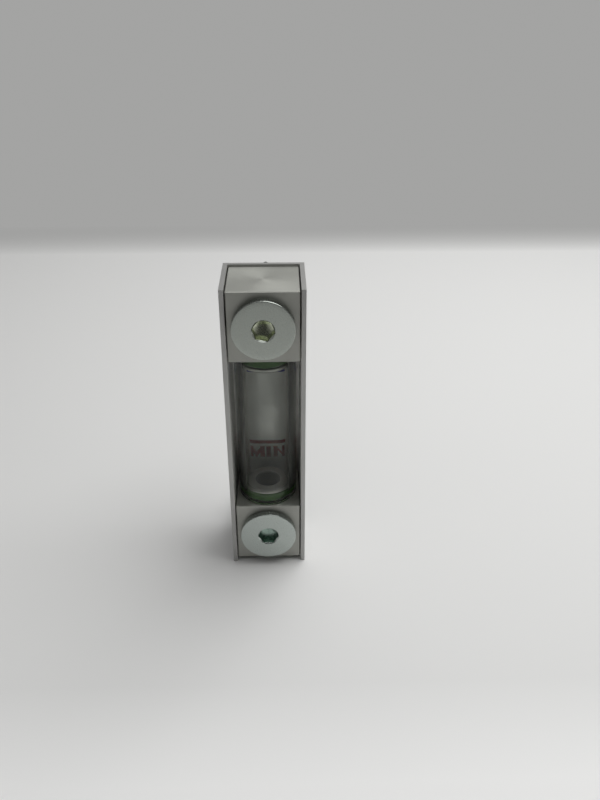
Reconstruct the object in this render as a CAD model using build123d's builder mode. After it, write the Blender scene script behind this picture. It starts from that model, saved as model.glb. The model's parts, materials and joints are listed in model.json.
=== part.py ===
from build123d import *
from math import radians, sqrt, tan
import os

# Tank level gauge: a glass sight tube between two end blocks, held in a
# channel-shaped guard. A hollow screw goes through each block, through the
# guard's back and on through the tank wall, and a nut holds it there.
#
# Millimetres. X is across the gauge, +Y points into the tank and +Z is up.
# The plane y = 0 is the guard's back, which faces the tank wall, x = 0 is the
# plane of symmetry and z = 0 is the guard's lower end.

# Driving dimensions -------------------------------------------------------

screw_pitch = 127.0            # height between the two hollow screws

tube_diameter = 32.0           # outside of the glass
tube_wall = 4.0
tube_end_play = 0.3            # from each end of the glass to its block
tube_edge_break = 0.4

block_side_margin = 1.7        # block beside the glass, left and right
block_face_margin = 0.5        # block in front of and behind the glass
block_height = 37.0
block_edge_break = 0.35

guard_wall = 2.3
guard_inner_radius = 0.8
guard_edge_break = 0.2
block_side_play = 0.5          # block to guard, left and right
flange_lip = 0.7               # guard's front edges stand past the blocks
block_foot_gap = 2.8           # lower block above the guard's lower end
block_top_gap = 1.2            # upper block below the guard's upper end

spigot_length = 8.2            # reaches this far into the glass
spigot_play = 0.15             # spigot to the bore of the glass
spigot_wall = 2.3              # metal between the O-ring groove and the port
spigot_lead_in = 0.8           # chamfer that finds the bore of the glass
port_edge_break = 0.4
groove_width = 6.2             # from the block's face
o_ring_thickness = 3.2         # squeezed between the groove and the glass
o_ring_width = 5.0             # along the tube, once squeezed

screw_diameter = 16.0
screw_play = 0.1               # screw to the bore of its block
head_overhang = 7.4            # head past the shank, all round
head_thickness = 3.5
head_edge_radius = 0.4
head_back_break = 0.3
socket_width = 10.0            # across the flats of the hexagon
socket_depth = 6.0
socket_lead_in = 0.8           # countersink past the flats, at the face
drill_point_angle = 118.0
oil_bore_diameter = 7.0
neck_wall = 2.75               # metal round the oil bore at the neck
neck_margin = 1.5              # neck past the port, to the front and back
cross_hole_diameter = 7.0
screw_end_break = 1.2
screw_free_end = 8.5           # screw past its nut
upper_socket_turn = 10.0       # degrees that each socket stopped at
lower_socket_turn = 0.0

head_seal_thickness = 1.5
head_seal_proud = 0.35         # seal stands out of its recess
head_seal_inset = 1.9          # seal inside the head's rim
seal_bore_play = 0.5           # seals and washers round the screw
seal_recess_play = 0.15

boss_wall = 4.0                # boss round the screw, through the guard
boss_play = 0.3                # boss to the hole in the guard
wall_seal_overlap = 1.5        # wall seal past the boss
wall_seal_thickness = 3.0

washer_rim_step = 0.2          # washer smaller than the screw's head, all round
washer_thickness = 3.0
washer_edge_break = 0.3

nut_width = 24.0               # across flats
nut_height = 13.0
nut_face_slope = 30.0          # degrees, of the chamfer on its corners
nut_lead_in = 0.8
nut_thread_play = 0.05
upper_nut_turn = 33.0
lower_nut_turn = 8.0

mark_overhang = 0.25           # past the glass, on each side
mark_height = 2.2
mark_film = 0.1                # thickness of the print
min_mark_from_block = 22.7     # mark's middle, from the lower block's face
max_mark_from_block = 20.8     # mark's middle, from the upper block's face

# Sizes and places that follow ---------------------------------------------

tube_radius = tube_diameter / 2
mark_width = tube_diameter + 2 * mark_overhang
tube_bore_radius = tube_radius - tube_wall

block_width = tube_diameter + 2 * block_side_margin
block_depth = tube_diameter + 2 * block_face_margin
guard_inner_width = block_width + 2 * block_side_play
guard_width = guard_inner_width + 2 * guard_wall
guard_depth = guard_wall + block_depth + flange_lip
guard_length = block_foot_gap + screw_pitch + block_height + block_top_gap

block_back_y = -guard_wall
block_front_y = block_back_y - block_depth
tube_axis_y = (block_back_y + block_front_y) / 2
lower_axis_z = block_foot_gap + block_height / 2
upper_axis_z = lower_axis_z + screw_pitch
lower_face_z = lower_axis_z + block_height / 2
upper_face_z = upper_axis_z - block_height / 2

spigot_radius = tube_bore_radius - spigot_play
groove_radius = tube_bore_radius - o_ring_thickness
port_radius = groove_radius - spigot_wall
groove_middle = groove_width / 2

screw_radius = screw_diameter / 2
head_radius = screw_radius + head_overhang
head_back_y = block_front_y - head_seal_proud
head_front_y = head_back_y - head_thickness
oil_bore_radius = oil_bore_diameter / 2
neck_radius = oil_bore_radius + neck_wall
neck_front_y = tube_axis_y - port_radius - neck_margin
neck_back_y = tube_axis_y + port_radius + neck_margin
drill_point_slope = tan(radians(drill_point_angle / 2))

seal_bore_radius = screw_radius + seal_bore_play
head_seal_radius = head_radius - head_seal_inset
seal_recess_depth = head_seal_thickness - head_seal_proud
boss_radius = screw_radius + boss_wall
wall_seal_radius = boss_radius + wall_seal_overlap

washer_radius = head_radius - washer_rim_step
washer_front_y = wall_seal_thickness
nut_front_y = washer_front_y + washer_thickness
nut_back_y = nut_front_y + nut_height
screw_end_y = nut_back_y + screw_free_end
nut_corner_radius = nut_width / sqrt(3)


def across(y, z):
    """A plane square to the screws, with its normal into the tank."""
    return Plane(origin=(0, y, z), x_dir=(1, 0, 0), z_dir=(0, 1, 0))


def beside(z):
    """The plane of symmetry as drawn for a turned piece: local x runs into the tank, local y up."""
    return Plane(origin=(0, 0, z), x_dir=(0, 1, 0), z_dir=(1, 0, 0))


def screw_axis(z):
    return Axis((0, 0, z), (0, 1, 0))


# Guard: one length of channel with a hole behind each block ---------------

with BuildPart() as guard_channel:
    with BuildSketch(Plane.XY):
        with Locations((0, -guard_depth / 2)):
            Rectangle(guard_width, guard_depth)
        with Locations((0, -(guard_wall + guard_depth) / 2)):
            Rectangle(guard_inner_width, guard_depth - guard_wall, mode=Mode.SUBTRACT)
    extrude(amount=guard_length)
    uprights = guard_channel.edges().filter_by(Axis.Z)
    inner_corners = uprights.filter_by(
        lambda edge: abs(edge.center().Y + guard_wall) < guard_wall / 4
    )
    fillet(inner_corners, guard_inner_radius)
    outer_corners = uprights.filter_by(lambda edge: abs(edge.center().Y + guard_wall) > guard_wall / 4)
    chamfer(outer_corners, guard_edge_break)
    for axis_z in (lower_axis_z, upper_axis_z):
        with BuildSketch(across(-guard_wall, axis_z)):
            Circle(boss_radius + boss_play)
        extrude(amount=guard_wall, mode=Mode.SUBTRACT)

guard_channel.part.label = "guard_channel"


# End blocks: square body, turned spigot with an O-ring groove, boss ---------

def end_block(axis_z, face_z, inward):
    """One block. inward is +1 where its spigot points up and -1 where it points down."""
    tube_axis = Axis((0, tube_axis_y, 0), (0, 0, 1))
    tube_section = Plane(origin=(0, tube_axis_y, face_z), x_dir=(1, 0, 0), z_dir=(0, -1, 0))
    rim = inward * spigot_length
    rim_chamfer = inward * (spigot_length - spigot_lead_in)
    groove_far = inward * groove_width
    with BuildPart() as block:
        with Locations((0, tube_axis_y, axis_z)):
            Box(block_width, block_depth, block_height)
        chamfer(block.edges(), block_edge_break)

        with BuildSketch(tube_section):
            with BuildLine():
                Polyline(
                    (0, -inward * block_edge_break),
                    (groove_radius, -inward * block_edge_break),
                    (groove_radius, groove_far),
                    (spigot_radius, groove_far),
                    (spigot_radius, rim_chamfer),
                    (spigot_radius - spigot_lead_in, rim),
                    (0, rim),
                    close=True,
                )
            make_face()
        revolve(axis=tube_axis)

        with BuildSketch(across(block_back_y, axis_z)):
            Circle(boss_radius)
        extrude(amount=guard_wall)

        with BuildSketch(tube_section):
            with BuildLine():
                Polyline(
                    (0, rim),
                    (port_radius + port_edge_break, rim),
                    (port_radius, rim - inward * port_edge_break),
                    (port_radius, -inward * block_height / 2),
                    (0, -inward * block_height / 2),
                    close=True,
                )
            make_face()
        revolve(axis=tube_axis, mode=Mode.SUBTRACT)

        with BuildSketch(across(0, axis_z)):
            Circle(screw_radius + screw_play)
        extrude(amount=block_front_y, mode=Mode.SUBTRACT)
        with BuildSketch(across(block_front_y, axis_z)):
            Circle(head_seal_radius + seal_recess_play)
        extrude(amount=seal_recess_depth, mode=Mode.SUBTRACT)
    return block


lower_end_block = end_block(lower_axis_z, lower_face_z, 1)
lower_end_block.part.label = "lower_end_block"

upper_end_block = end_block(upper_axis_z, upper_face_z, -1)
upper_end_block.part.label = "upper_end_block"


# Sight tube -----------------------------------------------------------------

with BuildPart() as sight_tube:
    with BuildSketch(Plane.XY.offset(lower_face_z + tube_end_play)):
        with Locations((0, tube_axis_y)):
            Circle(tube_radius)
            Circle(tube_bore_radius, mode=Mode.SUBTRACT)
    extrude(amount=upper_face_z - lower_face_z - 2 * tube_end_play)
    chamfer(sight_tube.edges().filter_by(GeomType.CIRCLE), tube_edge_break)

sight_tube.part.label = "sight_tube"


# O-rings: squeezed flat against the groove's floor and the glass ------------

def tube_o_ring(middle_z):
    tube_axis = Axis((0, tube_axis_y, 0), (0, 0, 1))
    with BuildPart() as ring:
        with BuildSketch(Plane(origin=(0, tube_axis_y, middle_z), x_dir=(1, 0, 0), z_dir=(0, -1, 0))):
            with Locations(((groove_radius + tube_bore_radius) / 2, 0)):
                SlotOverall(o_ring_width, o_ring_thickness, rotation=90)
        revolve(axis=tube_axis)
    return ring


lower_tube_o_ring = tube_o_ring(lower_face_z + groove_middle)
lower_tube_o_ring.part.label = "lower_tube_o_ring"

upper_tube_o_ring = tube_o_ring(upper_face_z - groove_middle)
upper_tube_o_ring.part.label = "upper_tube_o_ring"


# Hollow screws: flat head with a hexagon socket, relieved neck, oil bore ----

def hollow_screw(axis_z, socket_turn):
    with BuildPart() as screw:
        with BuildSketch(beside(axis_z)):
            with BuildLine():
                Polyline(
                    (head_front_y, 0),
                    (head_front_y, head_radius),
                    (head_back_y - head_back_break, head_radius),
                    (head_back_y, head_radius - head_back_break),
                    (head_back_y, screw_radius),
                    (neck_front_y, screw_radius),
                    (neck_front_y, neck_radius),
                    (neck_back_y, neck_radius),
                    (neck_back_y, screw_radius),
                    (screw_end_y - screw_end_break, screw_radius),
                    (screw_end_y, screw_radius - screw_end_break),
                    (screw_end_y, 0),
                    close=True,
                )
            make_face()
        revolve(axis=screw_axis(axis_z))
        front_rim = screw.edges().filter_by(GeomType.CIRCLE).sort_by(Axis.Y)[0]
        fillet(front_rim, head_edge_radius)

        with BuildSketch(across(head_front_y, axis_z)):
            RegularPolygon(socket_width / 2, 6, major_radius=False, rotation=socket_turn)
        extrude(amount=socket_depth, mode=Mode.SUBTRACT)

        socket_radius = socket_width / 2
        lead_in_radius = socket_radius + socket_lead_in
        socket_floor_y = head_front_y + socket_depth
        with BuildSketch(beside(axis_z)):
            with BuildLine():
                Polyline(
                    (head_front_y, 0),
                    (head_front_y, lead_in_radius),
                    (head_front_y + socket_lead_in, socket_radius),
                    (socket_floor_y, socket_radius),
                    (socket_floor_y + socket_radius / drill_point_slope, 0),
                    close=True,
                )
            make_face()
        revolve(axis=screw_axis(axis_z), mode=Mode.SUBTRACT)

        with BuildSketch(beside(axis_z)):
            with BuildLine():
                Polyline(
                    (screw_end_y, 0),
                    (screw_end_y, oil_bore_radius),
                    (neck_front_y + oil_bore_radius / 2, oil_bore_radius),
                    (neck_front_y + oil_bore_radius / 2 - oil_bore_radius / drill_point_slope, 0),
                    close=True,
                )
            make_face()
        revolve(axis=screw_axis(axis_z), mode=Mode.SUBTRACT)

        with BuildSketch(Plane.XY.offset(axis_z)):
            with Locations((0, tube_axis_y)):
                Circle(cross_hole_diameter / 2)
        extrude(amount=screw_radius, both=True, mode=Mode.SUBTRACT)
    return screw


lower_hollow_screw = hollow_screw(lower_axis_z, lower_socket_turn)
lower_hollow_screw.part.label = "lower_hollow_screw"

upper_hollow_screw = hollow_screw(upper_axis_z, upper_socket_turn)
upper_hollow_screw.part.label = "upper_hollow_screw"


# Flat rings on the screws: head seals, wall seals and washers ---------------

def flat_ring(axis_z, front_y, outer_radius, thickness):
    with BuildPart() as ring:
        with BuildSketch(across(front_y, axis_z)):
            Circle(outer_radius)
            Circle(seal_bore_radius, mode=Mode.SUBTRACT)
        extrude(amount=thickness)
    return ring


lower_head_seal = flat_ring(lower_axis_z, head_back_y, head_seal_radius, head_seal_thickness)
lower_head_seal.part.label = "lower_head_seal"

upper_head_seal = flat_ring(upper_axis_z, head_back_y, head_seal_radius, head_seal_thickness)
upper_head_seal.part.label = "upper_head_seal"

lower_wall_seal = flat_ring(lower_axis_z, 0, wall_seal_radius, wall_seal_thickness)
lower_wall_seal.part.label = "lower_wall_seal"

upper_wall_seal = flat_ring(upper_axis_z, 0, wall_seal_radius, wall_seal_thickness)
upper_wall_seal.part.label = "upper_wall_seal"


def washer(axis_z):
    with BuildPart() as ring:
        with BuildSketch(across(washer_front_y, axis_z)):
            Circle(washer_radius)
            Circle(seal_bore_radius, mode=Mode.SUBTRACT)
        extrude(amount=washer_thickness)
        chamfer(ring.edges().filter_by(GeomType.CIRCLE), washer_edge_break)
    return ring


lower_washer = washer(lower_axis_z)
lower_washer.part.label = "lower_washer"

upper_washer = washer(upper_axis_z)
upper_washer.part.label = "upper_washer"


# Nuts: a hexagon cut from a turned blank with sloping shoulders -------------

def hexagon_nut(axis_z, turn):
    face_radius = nut_width / 2 - nut_lead_in / 2
    shoulder = (nut_corner_radius - face_radius) * tan(radians(nut_face_slope))
    bore_radius = screw_radius + nut_thread_play
    with BuildPart() as nut:
        with BuildSketch(across(nut_front_y, axis_z)):
            RegularPolygon(nut_width / 2, 6, major_radius=False, rotation=turn)
        extrude(amount=nut_height)
        with BuildSketch(beside(axis_z)):
            with BuildLine():
                Polyline(
                    (nut_front_y, bore_radius + nut_lead_in),
                    (nut_front_y, face_radius),
                    (nut_front_y + shoulder, nut_corner_radius),
                    (nut_back_y - shoulder, nut_corner_radius),
                    (nut_back_y, face_radius),
                    (nut_back_y, bore_radius + nut_lead_in),
                    (nut_back_y - nut_lead_in, bore_radius),
                    (nut_front_y + nut_lead_in, bore_radius),
                    close=True,
                )
            make_face()
        revolve(axis=screw_axis(axis_z), mode=Mode.INTERSECT)
    return nut


lower_nut = hexagon_nut(lower_axis_z, lower_nut_turn)
lower_nut.part.label = "lower_nut"

upper_nut = hexagon_nut(upper_axis_z, upper_nut_turn)
upper_nut.part.label = "upper_nut"


# Level marks: bars printed inside the guard, seen through the glass ---------

def level_mark(middle_z):
    with BuildPart() as mark:
        with BuildSketch(across(-guard_wall, middle_z)):
            Rectangle(mark_width, mark_height)
        extrude(amount=-mark_film)
    return mark


min_mark = level_mark(lower_face_z + min_mark_from_block)
min_mark.part.label = "min_mark"

max_mark = level_mark(upper_face_z - max_mark_from_block)
max_mark.part.label = "max_mark"


# Write one STEP file for each piece ----------------------------------------

pieces = (
    guard_channel,
    lower_end_block,
    upper_end_block,
    sight_tube,
    lower_tube_o_ring,
    upper_tube_o_ring,
    lower_hollow_screw,
    upper_hollow_screw,
    lower_head_seal,
    upper_head_seal,
    lower_wall_seal,
    upper_wall_seal,
    lower_washer,
    upper_washer,
    lower_nut,
    upper_nut,
    min_mark,
    max_mark,
)

os.makedirs("parts", exist_ok=True)
for piece in pieces:
    export_step(piece.part, f"parts/{piece.part.label}.step")
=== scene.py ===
"""Looks of a tank level gauge: glass sight tube, machined end blocks, channel guard, hollow screws.

Metres, in the row's frame: X across the gauge, +Y into the tank, +Z up, and z = 0 at the guard's
lower end. Sizes in millimetres are multiplied by MM where they are named.
"""
import json

import bmesh
import bpy
import numpy as np
from mathutils import Matrix, Vector


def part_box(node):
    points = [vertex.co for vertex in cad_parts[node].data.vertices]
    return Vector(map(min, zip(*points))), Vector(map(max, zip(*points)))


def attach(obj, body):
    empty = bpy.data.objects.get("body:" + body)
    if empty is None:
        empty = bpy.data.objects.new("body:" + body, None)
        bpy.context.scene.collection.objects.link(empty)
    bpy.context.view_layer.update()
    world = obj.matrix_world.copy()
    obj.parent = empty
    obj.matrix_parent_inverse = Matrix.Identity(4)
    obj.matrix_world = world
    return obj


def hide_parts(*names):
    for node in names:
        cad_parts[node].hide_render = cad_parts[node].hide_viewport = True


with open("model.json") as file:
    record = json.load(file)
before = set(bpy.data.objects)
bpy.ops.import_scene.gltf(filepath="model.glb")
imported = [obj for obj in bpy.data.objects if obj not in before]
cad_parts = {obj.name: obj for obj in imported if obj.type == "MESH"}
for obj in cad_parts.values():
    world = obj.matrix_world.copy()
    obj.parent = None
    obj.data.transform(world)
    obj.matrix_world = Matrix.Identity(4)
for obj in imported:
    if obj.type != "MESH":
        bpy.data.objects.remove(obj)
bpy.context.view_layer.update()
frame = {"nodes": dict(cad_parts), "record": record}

MM = 0.001
BODY = "root"
ROUND_STEPS = 180              # a multiple of six, so that a hexagon's corners fall on vertices
nodes = frame["nodes"]
record = frame["record"]


# Sizes read from the frame ---------------------------------------------------

tube_low, tube_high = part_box("sight_tube")
tube_radius = (tube_high.x - tube_low.x) / 2
tube_axis_y = (tube_high.y + tube_low.y) / 2
ring_low, ring_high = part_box("lower_tube_o_ring")
tube_bore_radius = (ring_high.x - ring_low.x) / 2
guard_low, guard_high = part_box("guard_channel")
screw_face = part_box("lower_hollow_screw")[0].y
mark_low, mark_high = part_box("min_mark")
studs = {mount["name"]: mount for mount in record["mounts"] if mount["name"].endswith("_stud")}


# Mesh tools --------------------------------------------------------------------

def piece(name, points, faces, crease_degrees=35.0):
    """A mesh from points and faces: coincident points are merged, faces turned outwards."""
    mesh = bpy.data.meshes.new(name)
    mesh.from_pydata(np.asarray(points, float).reshape(-1, 3).tolist(), [], np.asarray(faces).tolist())
    work = bmesh.new()
    work.from_mesh(mesh)
    bmesh.ops.remove_doubles(work, verts=work.verts, dist=1e-6)
    bmesh.ops.dissolve_degenerate(work, edges=work.edges, dist=1e-7)
    bmesh.ops.recalc_face_normals(work, faces=work.faces)
    work.to_mesh(mesh)
    work.free()
    mesh.shade_smooth()
    mesh.set_sharp_from_angle(angle=np.radians(crease_degrees))
    thing = bpy.data.objects.new(name, mesh)
    bpy.context.scene.collection.objects.link(thing)
    return thing


def grid_faces(rows, columns, close_rows):
    """Quads between neighbouring rings of a grid, wrapped round each ring, and from the last
    ring to the first where close_rows is true."""
    row = np.arange(rows if close_rows else rows - 1)[:, None]
    column = np.arange(columns)[None, :]
    ahead = (row + 1) % rows
    beside = (column + 1) % columns
    corners = (row * columns + column, row * columns + beside,
               ahead * columns + beside, ahead * columns + column)
    return np.stack(corners, axis=-1).reshape(-1, 4)


def arc(centre_along, centre_radius, size, start, end, steps):
    """Points (along, radius) of a circle's arc in the half plane of a turned profile: the centre
    plus size times (cos a, sin a), with a running from start to end in degrees."""
    a = np.radians(np.linspace(start, end, steps))
    return np.stack([centre_along + size * np.cos(a), centre_radius + size * np.sin(a)], axis=-1)


def turned_upright(name, profile, axis_y, loop, crease_degrees=35.0, steps=ROUND_STEPS):
    """Surface of revolution about an upright axis: profile rows are (height, radius), and a point
    is (radius cos t, axis + radius sin t, height) with t once round."""
    profile = np.asarray(profile)
    t = np.linspace(0, 2 * np.pi, steps, endpoint=False)
    height = profile[:, :1]
    radius = profile[:, 1:]
    points = np.stack([radius * np.cos(t), axis_y + radius * np.sin(t), height + 0 * t], axis=-1)
    return piece(name, points, grid_faces(len(profile), steps, loop), crease_degrees)


# Shapes ------------------------------------------------------------------------

def glass_tube():
    """Sight tube: one closed profile carried round, up the outside and down the bore, with ground
    ends whose edges are broken. Rows next to each edge keep the long walls straight in the light."""
    edge = 0.4 * MM
    hold = 0.15 * MM
    low, high = tube_low.z, tube_high.z
    inner, outer = tube_bore_radius, tube_radius
    between = np.linspace(low + edge + hold, high - edge - hold, 12)
    wall = np.concatenate([[low + edge], between, [high - edge]])
    end = np.array([inner + edge + hold, outer - edge - hold])
    profile = np.concatenate([
        np.stack([wall, np.full(wall.size, outer)], axis=-1),
        [[high, outer - edge], [high, end[1]], [high, end[0]], [high, inner + edge]],
        np.stack([wall[::-1], np.full(wall.size, inner)], axis=-1),
        [[low, inner + edge], [low, end[0]], [low, end[1]], [low, outer - edge]],
    ])
    return turned_upright("sight_tube_glass", profile, tube_axis_y, loop=True, steps=256)


GROOVE_RADIUS = 8.8 * MM       # the spigot, at the bottom of its O-ring groove
RING_POWER = 2.6               # of the superellipse that the squeezed section follows
RING_SWELL = 1.09              # how much wider than its room the section would be, uncut
RING_WETS = 0.03 * MM          # how far the ring reaches into the glass


def squeezed_ring(name, node):
    """O-ring pressed between groove and glass: its section is a superellipse of power 2.6, cut flat
    where it wets the glass, a hair past the bore's surface so that no air shows between them."""
    low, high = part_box(node)
    inner = GROOVE_RADIUS
    outer = (high.x - low.x) / 2
    a = np.linspace(0, 2 * np.pi, 56, endpoint=False)
    power = 2 / RING_POWER
    across = np.sign(np.cos(a)) * np.abs(np.cos(a)) ** power
    along = np.sign(np.sin(a)) * np.abs(np.sin(a)) ** power
    radius = (inner + outer) / 2 + (outer - inner) / 2 * across * RING_SWELL
    radius = np.clip(radius, inner, outer + RING_WETS)
    height = (low.z + high.z) / 2 + (high.z - low.z) / 2 * along
    return turned_upright(name, np.stack([height, radius], axis=-1), tube_axis_y, True, 80, 192)


GUARD_WALL = 2.3 * MM
HEAD_THICKNESS = 3.5 * MM
HEAD_EDGE = 0.4 * MM
BACK_BREAK = 0.3 * MM
SOCKET_RADIUS = 5.0 * MM
SOCKET_DEPTH = 6.0 * MM
LEAD_IN = 0.8 * MM
DRILL_SLOPE = np.tan(np.radians(59))
NECK_RADIUS = 6.25 * MM
NECK_HALF = 8.0 * MM
OIL_BORE = 3.5 * MM
CROSS_HOLE = 3.5 * MM
THREAD_PITCH = 2.0 * MM
THREAD_DEPTH = 1.15 * MM
THREAD_START = 3.0 * MM
END_BREAK = 1.2 * MM
BORE_BREAK = 0.4 * MM
TIP = 1e-6                     # radius of the ring that closes a drilled hole's point
CREASE = 32                    # degrees, on the screws
DRILL_STEPS = 48


def hollow_screw(name, node, stud, turn_degrees):
    """Hollow screw as rings carried along its axis, each ring a radius as a function of the angle.

    The socket's rings are a hexagon, the flat's distance over the cosine of the angle from the
    middle of that flat. The countersink takes the larger of hexagon and cone. The thread's radius
    falls from the crest by its depth times a clipped triangle wave of (length / pitch - angle / turn),
    and a cone at the end takes the smaller."""
    low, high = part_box(node)
    head_radius = (high.x - low.x) / 2
    axis_z = stud["pos_m"][2]
    shank = stud["dims"]["r_mm"] * MM
    face = low.y
    head_back = face + HEAD_THICKNESS
    angle = np.linspace(0, 2 * np.pi, ROUND_STEPS, endpoint=False)
    from_flat = np.mod(angle, np.pi / 3) - np.pi / 6
    hexagon = SOCKET_RADIUS / np.cos(from_flat)
    whole = np.ones(ROUND_STEPS)
    rings = []

    def ring(along, radius):
        rings.append((along, radius * whole))

    floor = face + SOCKET_DEPTH
    ring(floor + SOCKET_RADIUS / DRILL_SLOPE, TIP)
    ring(floor, SOCKET_RADIUS)
    ring(floor, hexagon)
    for depth in np.linspace(LEAD_IN, 0, 12):
        ring(face + depth, np.maximum(hexagon, SOCKET_RADIUS + LEAD_IN - depth))
    for radius in np.linspace(SOCKET_RADIUS + LEAD_IN, head_radius - HEAD_EDGE, 5)[1:]:
        ring(face, radius)
    for along, radius in arc(face + HEAD_EDGE, head_radius - HEAD_EDGE, HEAD_EDGE, 180, 90, 9)[1:]:
        ring(along, radius)
    ring(head_back - BACK_BREAK, head_radius)
    ring(head_back, head_radius - BACK_BREAK)
    ring(head_back, shank)
    ring(tube_axis_y - NECK_HALF, shank)
    ring(tube_axis_y - NECK_HALF, NECK_RADIUS)
    ring(tube_axis_y + NECK_HALF, NECK_RADIUS)
    ring(tube_axis_y + NECK_HALF, shank)
    ring(THREAD_START, shank)
    steps = int((high.y - THREAD_START) / THREAD_PITCH * 12)
    for along in np.linspace(THREAD_START, high.y, steps):
        phase = np.mod(along / THREAD_PITCH - angle / (2 * np.pi), 1)
        groove = np.clip(1.25 - 2.5 * np.abs(2 * phase - 1), 0, 1)
        run_in = min(1.0, (along - THREAD_START) / THREAD_PITCH)
        cone = shank - END_BREAK + (high.y - along)
        ring(along, np.minimum(shank - THREAD_DEPTH * run_in * groove, cone))
    ring(high.y, OIL_BORE + BORE_BREAK)
    ring(high.y - BORE_BREAK, OIL_BORE)
    bore_end = tube_axis_y - NECK_HALF + OIL_BORE / 2
    ring(bore_end, OIL_BORE)
    ring(bore_end - OIL_BORE / DRILL_SLOPE, TIP)

    along = np.array([r[0] for r in rings])[:, None] + 0 * angle
    radius = np.array([r[1] for r in rings])
    t = angle + np.radians(turn_degrees)
    points = np.stack([radius * np.cos(t), along, axis_z - radius * np.sin(t)], axis=-1)
    screw = piece(name, points, grid_faces(len(rings), ROUND_STEPS, False), CREASE)
    drill(screw, Vector((0, tube_axis_y, axis_z)), CROSS_HOLE, 2.4 * NECK_RADIUS)
    return screw


def drill(target, centre, radius, length):
    """Cuts a round upright hole through target: a cylinder along Z, moved to centre."""
    t = np.linspace(0, 2 * np.pi, DRILL_STEPS, endpoint=False)
    rings = np.stack([np.stack([radius * np.cos(t), radius * np.sin(t), 0 * t + z], axis=-1)
                      for z in (-length / 2, length / 2)])
    faces = grid_faces(2, DRILL_STEPS, False).tolist()
    mesh = bpy.data.meshes.new("drill")
    lower_end = list(range(DRILL_STEPS - 1, -1, -1))
    upper_end = list(range(DRILL_STEPS, 2 * DRILL_STEPS))
    mesh.from_pydata(rings.reshape(-1, 3).tolist(), [], faces + [lower_end, upper_end])
    mesh.transform(Matrix.Translation(centre))
    tool = bpy.data.objects.new("drill", mesh)
    bpy.context.scene.collection.objects.link(tool)
    cut = target.modifiers.new("cut", "BOOLEAN")
    cut.operation = "DIFFERENCE"
    cut.solver = "EXACT"
    cut.object = tool
    graph = bpy.context.evaluated_depsgraph_get()
    result = bpy.data.meshes.new_from_object(target.evaluated_get(graph))
    old = target.data
    target.modifiers.clear()
    target.data = result
    bpy.data.meshes.remove(old)
    bpy.data.objects.remove(tool)
    bpy.data.meshes.remove(mesh)
    result.name = target.name
    result.set_sharp_from_angle(angle=np.radians(CREASE))


LETTERS = {
    "M": [((0.0, 0.0), (0.0, 1.0)), ((0.0, 1.0), (0.5, 0.25)),
          ((0.5, 0.25), (1.0, 1.0)), ((1.0, 1.0), (1.0, 0.0))],
    "I": [((0.5, 0.0), (0.5, 1.0))],
    "N": [((0.0, 0.0), (0.0, 1.0)), ((0.0, 1.0), (1.0, 0.0)), ((1.0, 0.0), (1.0, 1.0))],
    "A": [((0.0, 0.0), (0.5, 1.0)), ((0.5, 1.0), (1.0, 0.0)), ((0.18, 0.34), (0.82, 0.34))],
    "X": [((0.0, 0.0), (1.0, 1.0)), ((0.0, 1.0), (1.0, 0.0))],
}
STROKE = 3.3 * MM
FILM = 0.08 * MM
LAYER_STEP = 0.06              # of the film, between strokes that cross
SLANT_LEAST = 0.01             # least share of its length by which a slanted stroke leans


def level_word(name, spelling, left, width, low, height, face_y):
    """A word of straight strokes printed on the guard's back. Each stroke is a bar of even width
    between two points of the letter's box, as a thin closed film. A slanted stroke is drawn longer
    by half its width times lean over rise, and letters are clipped to the height of the box."""
    points = []
    faces = []
    for letter, start, size in spelling:
        for layer, (a, b) in enumerate(LETTERS[letter]):
            film = FILM * (1 + LAYER_STEP * layer)
            a = np.array([left + width * (start + size * a[0]), low + height * a[1]])
            b = np.array([left + width * (start + size * b[0]), low + height * b[1]])
            along = (b - a) / np.linalg.norm(b - a)
            side = np.array([-along[1], along[0]]) * STROKE / 2
            slanted = min(abs(along)) > SLANT_LEAST
            reach = STROKE / 2 * abs(along[0]) / abs(along[1]) if slanted else 0
            corners = np.array([a - along * reach + side, b + along * reach + side,
                                b + along * reach - side, a - along * reach - side])
            corners[:, 1] = np.clip(corners[:, 1], low, low + height)
            base = len(points)
            points += [(x, face_y, z) for x, z in corners]
            points += [(x, face_y - film, z) for x, z in corners]
            faces += [[base + i for i in (3, 2, 1, 0)], [base + i for i in (4, 5, 6, 7)]]
            faces += [[base + i, base + (i + 1) % 4, base + 4 + (i + 1) % 4, base + 4 + i]
                      for i in range(4)]
    mesh = bpy.data.meshes.new(name)
    mesh.from_pydata(points, [], faces)
    word = bpy.data.objects.new(name, mesh)
    bpy.context.scene.collection.objects.link(word)
    work = bmesh.new()
    work.from_mesh(mesh)
    bmesh.ops.recalc_face_normals(work, faces=work.faces)
    work.to_mesh(mesh)
    work.free()
    return word


# Materials ---------------------------------------------------------------------

def material(name, **values):
    """A new material whose shader sockets take the given plain values. Returns it and its nodes."""
    made = bpy.data.materials.new(name)
    made.use_nodes = True
    tree = made.node_tree
    shader = tree.nodes["Principled BSDF"]
    for socket, value in values.items():
        shader.inputs[socket.replace("_", " ")].default_value = value
    return made, tree, shader


def node(tree, kind, **settings):
    """A shader node: settings that name an input set that input, others set the node itself."""
    made = tree.nodes.new("ShaderNode" + kind)
    for key, value in settings.items():
        label = key.replace("_", " ")
        if label in made.inputs:
            made.inputs[label].default_value = value
        else:
            setattr(made, key, value)
    return made


def object_point(tree, scale=(1, 1, 1), centre=(0, 0, 0)):
    """Object coordinates less centre, each times its scale."""
    source = node(tree, "TexCoord")
    moved = node(tree, "VectorMath", operation="SUBTRACT")
    moved.inputs[1].default_value = centre
    tree.links.new(source.outputs["Object"], moved.inputs[0])
    stretched = node(tree, "VectorMath", operation="MULTIPLY")
    stretched.inputs[1].default_value = scale
    tree.links.new(moved.outputs[0], stretched.inputs[0])
    return stretched.outputs[0]


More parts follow.
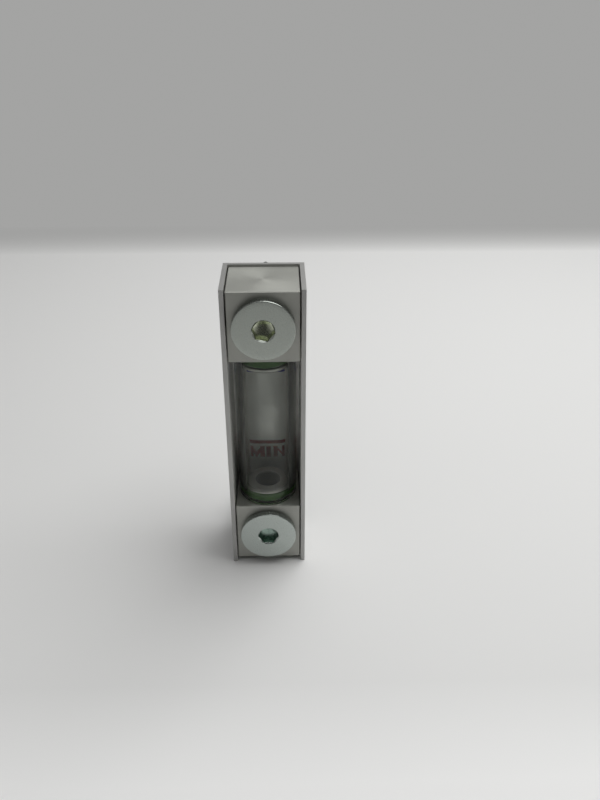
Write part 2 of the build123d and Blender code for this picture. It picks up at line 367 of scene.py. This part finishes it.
def bump(tree, shader, height, strength, distance):
    """Lets a height pattern tilt the shading; distance is its full height, in metres."""
    made = node(tree, "Bump", Strength=strength, Distance=distance)
    tree.links.new(height, made.inputs["Height"])
    tree.links.new(made.outputs["Normal"], shader.inputs["Normal"])


def spread(tree, value, low, high, new_low, new_high):
    """Value carried in a straight line from (low, high) to (new_low, new_high), held at the ends."""
    made = node(tree, "MapRange")
    ends = (("From Min", low), ("From Max", high), ("To Min", new_low), ("To Max", new_high))
    for label, number in ends:
        made.inputs[label].default_value = number
    tree.links.new(value, made.inputs["Value"])
    return made.outputs["Result"]


def rings_about(tree, centre, axis, pitch):
    """Turning marks: a noise read along the distance from an axis, so it is even round each ring."""
    keep = {"Y": (1, 0, 1), "Z": (1, 1, 0)}[axis]
    flat = object_point(tree, keep, centre)
    length = node(tree, "VectorMath", operation="LENGTH")
    tree.links.new(flat, length.inputs[0])
    noise = node(tree, "TexNoise", noise_dimensions="1D", Scale=1 / pitch, Detail=3.0, Roughness=0.6)
    tree.links.new(length.outputs["Value"], noise.inputs["W"])
    return noise.outputs["Fac"]


def across_marks(tree, shader, direction):
    """Turns the highlight's long way across the tool marks, whose ridges spread light that way."""
    unit = node(tree, "VectorMath", operation="NORMALIZE")
    tree.links.new(direction, unit.inputs[0])
    tree.links.new(unit.outputs[0], shader.inputs["Tangent"])


def shade(tree, shader, base, layers):
    """Base colour that starts as base, with each layer's colour laid over it as its mask goes
    from 0 to 1."""
    below = None
    for mask, colour in layers:
        mix = node(tree, "MixRGB")
        mix.inputs[1].default_value = (*base, 1)
        mix.inputs[2].default_value = (*colour, 1)
        tree.links.new(mask, mix.inputs[0])
        if below:
            tree.links.new(below, mix.inputs[1])
        below = mix.outputs[0]
    tree.links.new(below, shader.inputs["Base Color"])


def both(tree, first, second):
    """Product of two masks."""
    product = node(tree, "Math", operation="MULTIPLY")
    tree.links.new(first, product.inputs[0])
    tree.links.new(second, product.inputs[1])
    return product.outputs[0]


def unsigned(tree, value):
    """A value without its sign."""
    plain = node(tree, "Math", operation="ABSOLUTE")
    tree.links.new(value, plain.inputs[0])
    return plain.outputs[0]


def one_axis(tree, axis):
    """One object coordinate, in metres."""
    split = node(tree, "SeparateXYZ")
    tree.links.new(object_point(tree), split.inputs[0])
    return split.outputs[axis]


def anodised():
    """Guard: satin anodised extrusion with faint die lines along its length, which spread light
    sideways. Painted light and shade: the channel's inner walls and web are painted much paler, as
    painted light for the light the deep channel keeps out, the sawn top end is painted paler as painted
    light, and the front edges are painted darker as painted shade."""
    made, tree, shader = material("anodised_aluminium", Metallic=1.0, Anisotropic=0.5)
    front, top = guard_low.y, guard_high.z
    inside = guard_high.x - GUARD_WALL
    above_here = studs["upper_stud"]["pos_m"][2]
    depth = one_axis(tree, "Y")
    height = one_axis(tree, "Z")
    below_top = spread(tree, height, above_here, above_here + MM, 1.0, 0.0)
    between_flanges = both(tree, below_top, spread(
        tree, unsigned(tree, one_axis(tree, "X")), inside + 0.1 * MM, inside + 0.2 * MM, 1.0, 0.0))
    inner_walls_painted_light = spread(tree, depth, -GUARD_WALL - 0.2 * MM, -GUARD_WALL - 0.1 * MM, 1.0, 0.0)
    web_painted_light = spread(tree, depth, -GUARD_WALL - 0.1 * MM, -GUARD_WALL + 0.1 * MM, 1.0, 0.0)
    front_edge_painted_shade = spread(tree, depth, front, front + 0.25 * MM, 1.0, 0.0)
    top_end_painted_light = spread(tree, height, top - 0.25 * MM, top, 0.0, 1.0)
    # Painted light and shade: web and inner walls paler, front edges darker, top end paler.
    shade(tree, shader, (0.47, 0.47, 0.455), [
        (both(tree, between_flanges, web_painted_light), (0.9, 0.9, 0.87)),
        (both(tree, between_flanges, inner_walls_painted_light), (0.75, 0.75, 0.72)),
        (front_edge_painted_shade, (0.44, 0.44, 0.43)),
        (top_end_painted_light, (0.56, 0.56, 0.545)),
    ])
    level = node(tree, "CombineXYZ", X=1.0, Y=1.0)
    across_marks(tree, shader, level.outputs[0])
    lines = node(tree, "TexNoise", Scale=1.0, Detail=4.0)
    tree.links.new(object_point(tree, (2600, 2600, 12)), lines.inputs["Vector"])
    patches = node(tree, "TexNoise", Scale=90.0, Detail=3.0)
    tree.links.new(object_point(tree), patches.inputs["Vector"])
    tree.links.new(spread(tree, patches.outputs["Fac"], 0.3, 0.7, 0.52, 0.6), shader.inputs["Roughness"])
    bump(tree, shader, lines.outputs["Fac"], 0.2, 0.00001)
    return made


def machined(name, centre, turned_face_painted_light):
    """End block: turned face marks about the tube's axis, on every face that lies across it. These
    faces are painted brighter than the block's sides, as painted light, the lower block's far more,
    for the light that its place deep in the channel does not get."""
    made, tree, shader = material(name, Metallic=1.0, Anisotropic=0.2)
    facing = node(tree, "SeparateXYZ")
    tree.links.new(node(tree, "TexCoord").outputs["Normal"], facing.inputs[0])
    turned = spread(tree, unsigned(tree, facing.outputs["Z"]), 0.8, 0.95, 0.0, 1.0)
    # Painted light: faces across the axis are painted paler than the sides.
    shade(tree, shader, (0.38, 0.383, 0.355), [(turned, turned_face_painted_light)])
    marks = rings_about(tree, centre, "Z", 0.00022)
    across_marks(tree, shader, object_point(tree, (1, 1, 0), centre))
    patches = node(tree, "TexNoise", Scale=140.0, Detail=4.0)
    tree.links.new(object_point(tree), patches.inputs["Vector"])
    tree.links.new(spread(tree, patches.outputs["Fac"], 0.3, 0.7, 0.48, 0.56), shader.inputs["Roughness"])
    bump(tree, shader, marks, 0.15, 0.00001)
    return made


def zinc(name, centre, plate, socket):
    """Zinc plate on turned steel: bright, in the plate's tint, with turning marks about its axis, and
    in another colour down in the hexagon socket, painted light and shade for how light falls in there."""
    made, tree, shader = material(name, Metallic=1.0, Roughness=0.27)
    marks = rings_about(tree, centre, "Y", 0.00035)
    head_face = screw_face + 0.5 * MM
    away = node(tree, "VectorMath", operation="LENGTH")
    tree.links.new(object_point(tree, (1, 0, 1), centre), away.inputs[0])
    near_axis = spread(
        tree, away.outputs["Value"], SOCKET_RADIUS + 0.9 * MM, SOCKET_RADIUS + 1.1 * MM, 1.0, 0.0)
    depth = one_axis(tree, "Y")
    below_face = spread(tree, depth, head_face, head_face + 0.6 * MM, 0.0, 1.0)
    above_floor = spread(tree, depth, head_face + 9 * MM, head_face + 9.5 * MM, 1.0, 0.0)
    inside = both(tree, near_axis, both(tree, below_face, above_floor))
    # The socket's colour laid over the plate is painted light and shade.
    shade(tree, shader, plate, [(inside, socket)])
    patches = node(tree, "TexNoise", Scale=2500.0, Detail=3.0, Roughness=0.6)
    tree.links.new(object_point(tree), patches.inputs["Vector"])
    tree.links.new(spread(tree, patches.outputs["Fac"], 0.3, 0.7, 0.24, 0.3), shader.inputs["Roughness"])
    bump(tree, shader, marks, 0.05, 0.00001)
    return made


def clear_glass():
    """Sight glass: clear, with a faint green cast and a trace of drawing waves along its length."""
    made, tree, shader = material(
        "sight_glass", Base_Color=(0.982, 0.992, 0.978, 1), Roughness=0.0, IOR=1.47,
        Transmission_Weight=1.0, Specular_Tint=(0.35, 0.37, 0.35, 1))
    waves = node(tree, "TexNoise", Scale=1.0, Detail=1.0)
    tree.links.new(object_point(tree, (60, 60, 9)), waves.inputs["Vector"])
    bump(tree, shader, waves.outputs["Fac"], 0.03, 0.0001)
    return made


def rubber():
    """Green seal rubber, moulded, slightly oily."""
    made, tree, shader = material("green_rubber", Base_Color=(0.05, 0.14, 0.028, 1), Roughness=0.45)
    grain = node(tree, "TexNoise", Scale=1800.0, Detail=3.0)
    tree.links.new(object_point(tree), grain.inputs["Vector"])
    tree.links.new(spread(tree, grain.outputs["Fac"], 0.3, 0.7, 0.4, 0.52), shader.inputs["Roughness"])
    bump(tree, shader, grain.outputs["Fac"], 0.2, 0.00003)
    return made


def print_ink(name, colour):
    """Screen-printed ink: a little uneven in tone and gloss."""
    made, tree, shader = material(name, Specular_IOR_Level=0.2)
    speckle = node(tree, "TexNoise", Scale=1500.0, Detail=3.0)
    tree.links.new(object_point(tree), speckle.inputs["Vector"])
    tree.links.new(spread(tree, speckle.outputs["Fac"], 0.3, 0.7, 0.6, 0.75), shader.inputs["Roughness"])
    tint = node(tree, "MixRGB")
    tint.inputs[1].default_value = (*colour, 1)
    tint.inputs[2].default_value = (*[c * 0.7 for c in colour], 1)
    tree.links.new(speckle.outputs["Fac"], tint.inputs[0])
    tree.links.new(tint.outputs[0], shader.inputs["Base Color"])
    bump(tree, shader, speckle.outputs["Fac"], 0.15, 0.00001)
    return made


def dress(thing, finish, slot=None):
    """Gives a piece or CAD node one finish, and a new piece its body."""
    thing.data.materials.clear()
    thing.data.materials.append(finish)
    if slot:
        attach(thing, BODY)


# The gauge ---------------------------------------------------------------------

rubber_finish = rubber()
red_ink = print_ink("red_print_ink", (0.25, 0.006, 0.018))
blue_ink = print_ink("blue_print_ink", (0.03, 0.04, 0.4))
# Painted light on each block's faces across the axis: the lower block's is much paler than the upper's.
TURNED_FACE_PAINTED_LIGHT = {"lower": (0.72, 0.73, 0.68), "upper": (0.45, 0.455, 0.42)}
# Zinc tint per screw, with painted shade: the upper screw's plate is darker than the lower's.
PLATE_PAINTED_SHADE = {"lower": (0.46, 0.50, 0.475), "upper": (0.38, 0.405, 0.375)}
# Painted light and shade inside each socket: darker in the lower screw, paler in the upper.
SOCKET_PAINTED_LIGHT_AND_SHADE = {"lower": (0.34, 0.44, 0.39), "upper": (0.66, 0.70, 0.55)}
SOCKET_TURN = {"lower": 0, "upper": 10}     # degrees at which each screw stopped

dress(nodes["guard_channel"], anodised())
for level in ("lower", "upper"):
    centre = (0, tube_axis_y, 0)
    dress(nodes[level + "_end_block"], machined(level + "_block_metal", centre, TURNED_FACE_PAINTED_LIGHT[level]))
    stud = studs[level + "_stud"]
    screw_centre = (0, 0, stud["pos_m"][2])
    zinc_finish = zinc(level + "_zinc_plate", screw_centre, PLATE_PAINTED_SHADE[level], SOCKET_PAINTED_LIGHT_AND_SHADE[level])
    for part in ("_washer", "_nut"):
        dress(nodes[level + part], zinc_finish)
    for part in ("_wall_seal", "_head_seal"):
        dress(nodes[level + part], rubber_finish)
    screw = hollow_screw(level + "_screw_body", level + "_hollow_screw", stud, SOCKET_TURN[level])
    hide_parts(level + "_hollow_screw")
    dress(screw, zinc_finish, "zinc")
    o_ring = squeezed_ring(level + "_o_ring", level + "_tube_o_ring")
    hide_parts(level + "_tube_o_ring")
    dress(o_ring, rubber_finish, "seal")

glass = glass_tube()
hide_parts("sight_tube")
dress(glass, clear_glass(), "glass")

dress(nodes["min_mark"], red_ink)
dress(nodes["max_mark"], blue_ink)
WORD_WIDTH = 26.8 * MM
WORD_HEIGHT = 7.3 * MM
WORD_GAP = 1.9 * MM
word_left = -WORD_WIDTH / 2
min_word = level_word(
    "min_word", [("M", 0.0, 0.35), ("I", 0.42, 0.20), ("N", 0.72, 0.28)], word_left, WORD_WIDTH,
    mark_low.z - WORD_GAP - WORD_HEIGHT, WORD_HEIGHT, mark_high.y)
dress(min_word, red_ink, "red_print")
max_low, max_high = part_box("max_mark")
max_word = level_word(
    "max_word", [("M", 0.0, 0.33), ("A", 0.39, 0.28), ("X", 0.72, 0.28)], word_left, WORD_WIDTH,
    max_high.z + WORD_GAP, WORD_HEIGHT, mark_high.y)
dress(max_word, blue_ink, "blue_print")


# Stage, light and camera ---------------------------------------------------------

def board(name, profile, half_width, finish):
    """A stage sheet: its profile, rows of (Y, Z), drawn out along X."""
    profile = np.asarray(profile, float)
    x = np.array([-half_width, half_width])
    points = np.stack([x + 0 * profile[:, :1], profile[:, :1] + 0 * x, profile[:, 1:] + 0 * x], axis=-1)
    first = 2 * np.arange(len(profile) - 1)
    faces = np.stack([first, first + 1, first + 3, first + 2], axis=-1)
    mesh = bpy.data.meshes.new(name)
    mesh.from_pydata(points.reshape(-1, 3).tolist(), [], faces.tolist())
    mesh.shade_smooth()
    mesh.materials.append(finish)
    made = bpy.data.objects.new(name, mesh)
    bpy.context.scene.collection.objects.link(made)
    return made


def pale_board():
    """Floor and backdrop: pale up to half a metre behind the gauge and paler in front of it, a painted
    light that leaves the floor round the gauge's foot in painted shadow, with a strip of painted
    shadow of the camera on the floor under it. Further back it is greyer, and seen by the camera at
    one even tone, whatever light reaches it."""
    made, tree, shader = material("pale_board", Roughness=0.8)
    along = one_axis(tree, "Y")
    behind = spread(tree, along, BACKDROP_STARTS, BACKDROP_EVEN, 0.0, 1.0)
    front_painted_light = spread(tree, along, FRONT_EVEN, FRONT_STARTS, 1.0, 0.0)
    camera_shadow = spread(tree, along, CAMERA_SHADOW_EVEN, CAMERA_SHADOW_STARTS, 1.0, 0.0)
    # Painted light in front of the gauge and painted shadow of the camera, laid on the floor's colour.
    shade(tree, shader, FLOOR_COLOUR, [
        (behind, BACKDROP_COLOUR), (front_painted_light, FRONT_PAINTED_LIGHT), (camera_shadow, CAMERA_SHADOW_COLOUR)])
    even = node(tree, "Emission", Color=(*BACKDROP_COLOUR, 1))
    path = node(tree, "LightPath")
    seen = node(tree, "Math", operation="MULTIPLY")
    tree.links.new(path.outputs["Is Camera Ray"], seen.inputs[0])
    tree.links.new(behind, seen.inputs[1])
    either = node(tree, "MixShader")
    tree.links.new(seen.outputs[0], either.inputs[0])
    tree.links.new(shader.outputs[0], either.inputs[1])
    tree.links.new(even.outputs[0], either.inputs[2])
    tree.links.new(either.outputs[0], tree.nodes["Material Output"].inputs["Surface"])
    return made


def area_light(name, place, aim, size, power):
    """A white rectangular lamp at place, facing aim, with its size in metres and power in watts."""
    lamp = bpy.data.lights.new(name, "AREA")
    lamp.shape = "RECTANGLE"
    lamp.size, lamp.size_y = size
    lamp.energy = power
    made = bpy.data.objects.new(name, lamp)
    made.location = place
    made.rotation_euler = (Vector(aim) - Vector(place)).to_track_quat("-Z", "Y").to_euler()
    bpy.context.scene.collection.objects.link(made)


FLOOR_COLOUR = (0.74, 0.74, 0.73)
# Painted light: the floor is paler in front, so the gauge's foot sits in painted shadow.
FRONT_PAINTED_LIGHT = (0.87, 0.87, 0.86)
FRONT_STARTS = -0.12
FRONT_EVEN = -0.17
# Painted shadow of the camera on the floor under it.
CAMERA_SHADOW_COLOUR = (0.68, 0.68, 0.67)
CAMERA_SHADOW_STARTS = -0.25
CAMERA_SHADOW_EVEN = -0.32
BACKDROP_COLOUR = (0.37, 0.37, 0.365)
BACKDROP_STARTS = 0.49
BACKDROP_EVEN = 0.6
COVE = 0.5                     # radius of the bend from floor to backdrop
COVE_STARTS = 1.2
FLOOR_FRONT = -1.6
STAGE_HEIGHT = 2.6
STAGE_HALF_WIDTH = 2.6
turn = np.radians(np.linspace(-90, 0, 24))
cove = np.stack([COVE_STARTS + COVE * np.cos(turn), COVE + COVE * np.sin(turn)], axis=-1)
floor_profile = np.concatenate([[[FLOOR_FRONT, 0.0]], cove, [[COVE_STARTS + COVE, STAGE_HEIGHT]]])
board("floor", floor_profile, STAGE_HALF_WIDTH, pale_board())
dark, _, _ = material("dark_screen", Base_Color=(0.03, 0.03, 0.03, 1), Roughness=0.9)
screen = board("screen_behind_camera", [[-0.62, 0.1], [-0.62, 0.85]], 0.7, dark)
screen.visible_camera = False

world = bpy.data.worlds.new("room")
bpy.context.scene.world = world
world.use_nodes = True
world.node_tree.nodes["Background"].inputs["Color"].default_value = (0.8, 0.8, 0.8, 1)
world.node_tree.nodes["Background"].inputs["Strength"].default_value = 0.38

area_light("overhead", (0.42, 0.21, 1.05), (0.05, 0.0, 0), (0.9, 0.8), 9.5)
area_light("back", (0.1, 1.15, 0.75), (0.0, 0.0, 0.1), (1.8, 0.7), 1.3)
area_light("front", (0.15, -0.42, 1.05), (0.0, 0.0, 0.05), (1.2, 0.35), 1.4)

camera_data = bpy.data.cameras.new("camera")
camera_data.lens = 32.494
camera_data.sensor_width = 36.0
camera_data.clip_start = 0.01
camera = bpy.data.objects.new("camera", camera_data)
camera.location = (0.008474, -0.348237, 0.295921)
camera.rotation_euler = (
    Matrix.Rotation(np.radians(-1.666), 3, "Z")
    @ Matrix.Rotation(np.radians(90 - 30.957), 3, "X")
    @ Matrix.Rotation(np.radians(0.177), 3, "Z")
).to_euler()
bpy.context.scene.collection.objects.link(camera)
bpy.context.scene.camera = camera
bpy.context.scene.view_settings.view_transform = "Standard"
